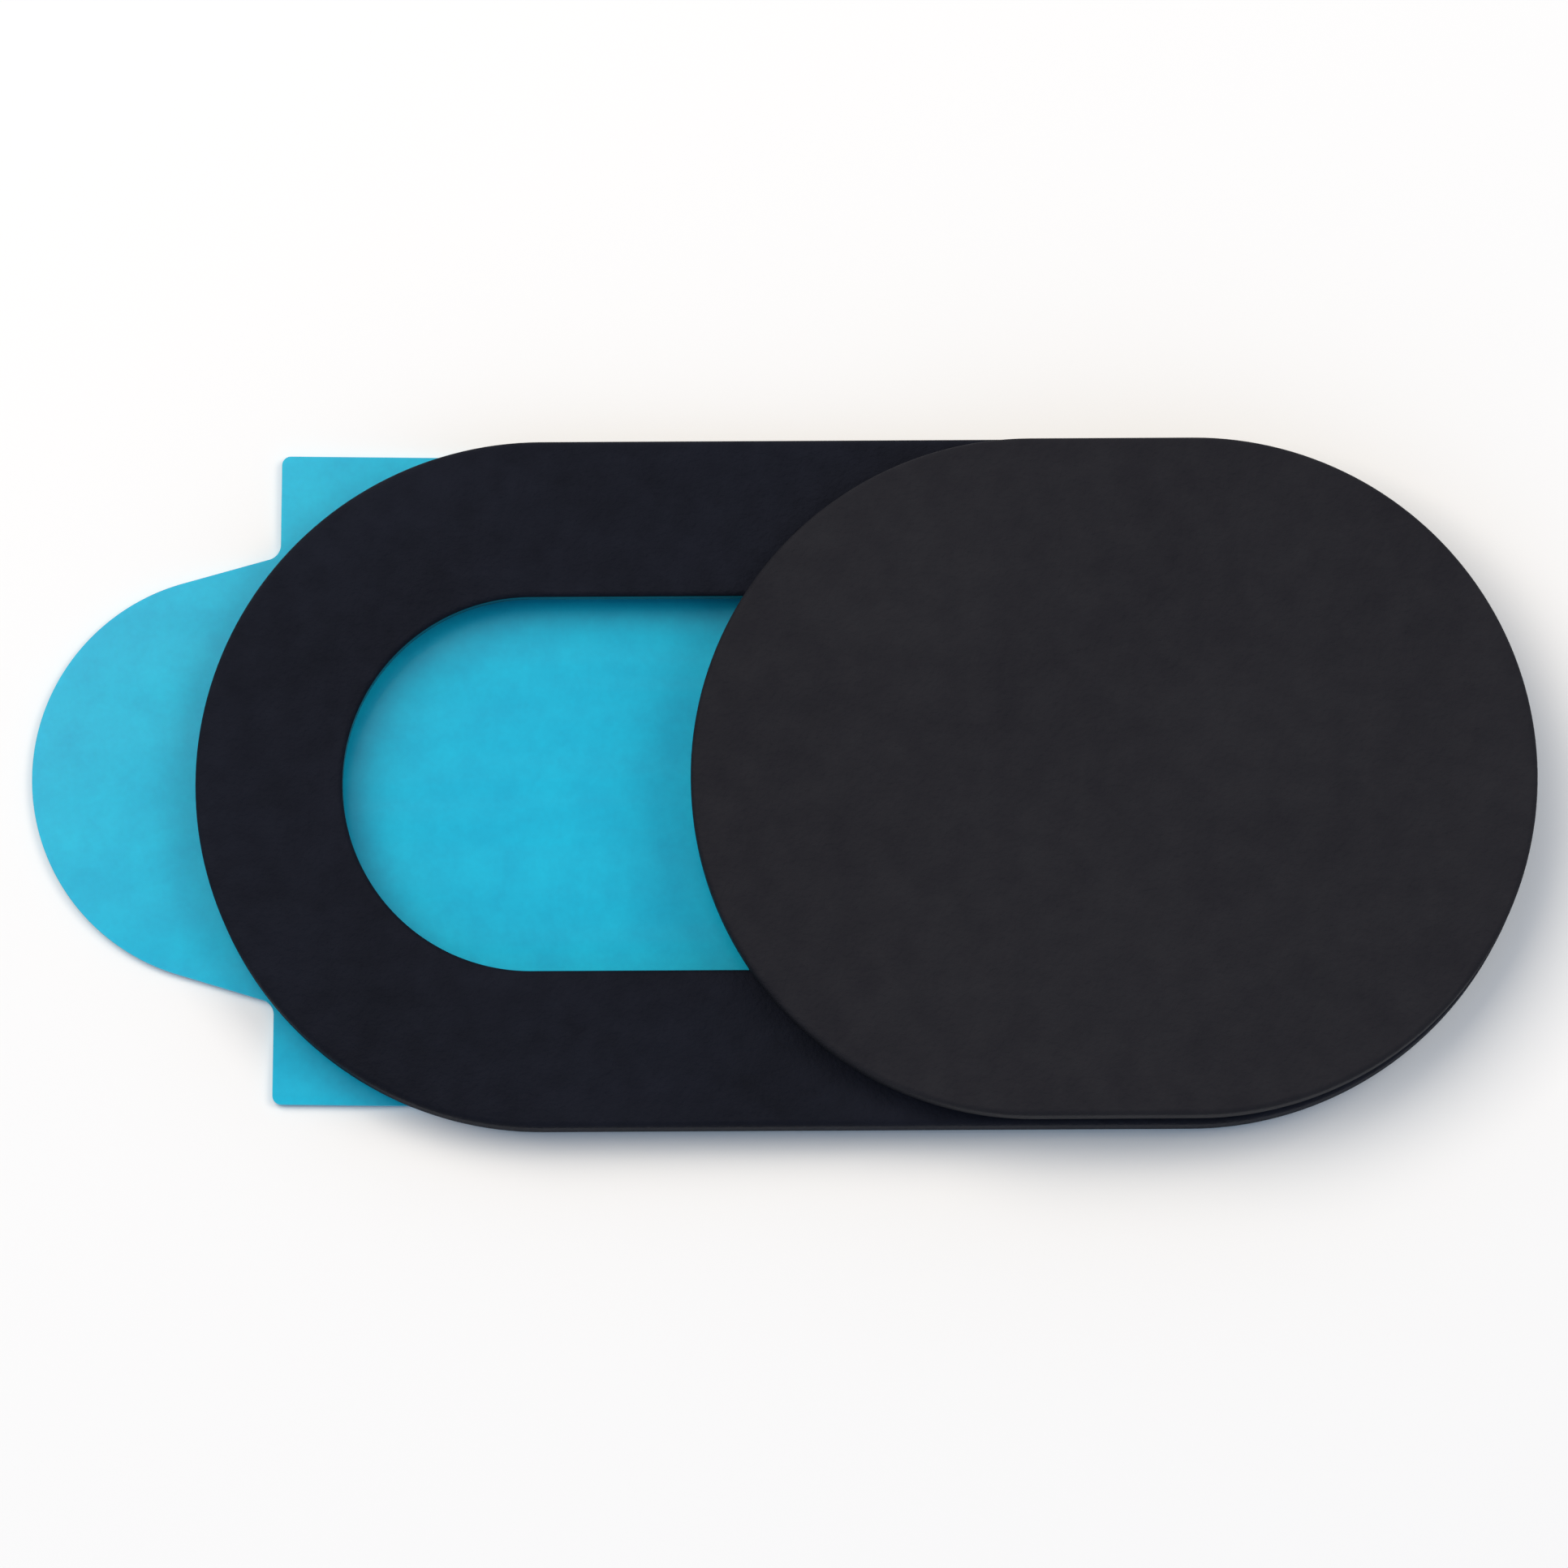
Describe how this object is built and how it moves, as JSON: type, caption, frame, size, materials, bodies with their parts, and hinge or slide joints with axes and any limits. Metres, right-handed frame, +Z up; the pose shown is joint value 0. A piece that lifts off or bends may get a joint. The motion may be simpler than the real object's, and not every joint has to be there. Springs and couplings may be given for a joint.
{
  "type": "webcam cover slider",
  "caption": "Oval stick-on webcam cover with a long window, a door that slides along it to hide or free the lens, and a release film with a pull tab under its tape.",
  "frame": {"origin": "under the middle of the base in plan, on the underside of the release film", "axes": "+X along the slide, towards the end where the door stands open, +Y across the base, +Z up, away from the surface that the cover is stuck to"},
  "size_m": [0.0202, 0.0094, 0.0014],
  "materials": {
    "base_plastic": "fine spark-eroded black, slightly blue",
    "door_plastic": "fine spark-eroded black, a little lighter than the base",
    "tape": "tacky double-sided tape",
    "film": "thin blue film, satin"
  },
  "bodies": {
    "base": {"base_frame": "base_plastic", "adhesive_ring": "tape", "release_liner": "film"},
    "door": {"sliding_door": "door_plastic"}
  },
  "joints": [
    {"name": "door_slide", "type": "slide", "parent": "base", "child": "door", "axis": [-1, 0, 0], "range_m": [0, 0.00666]}
  ]
}
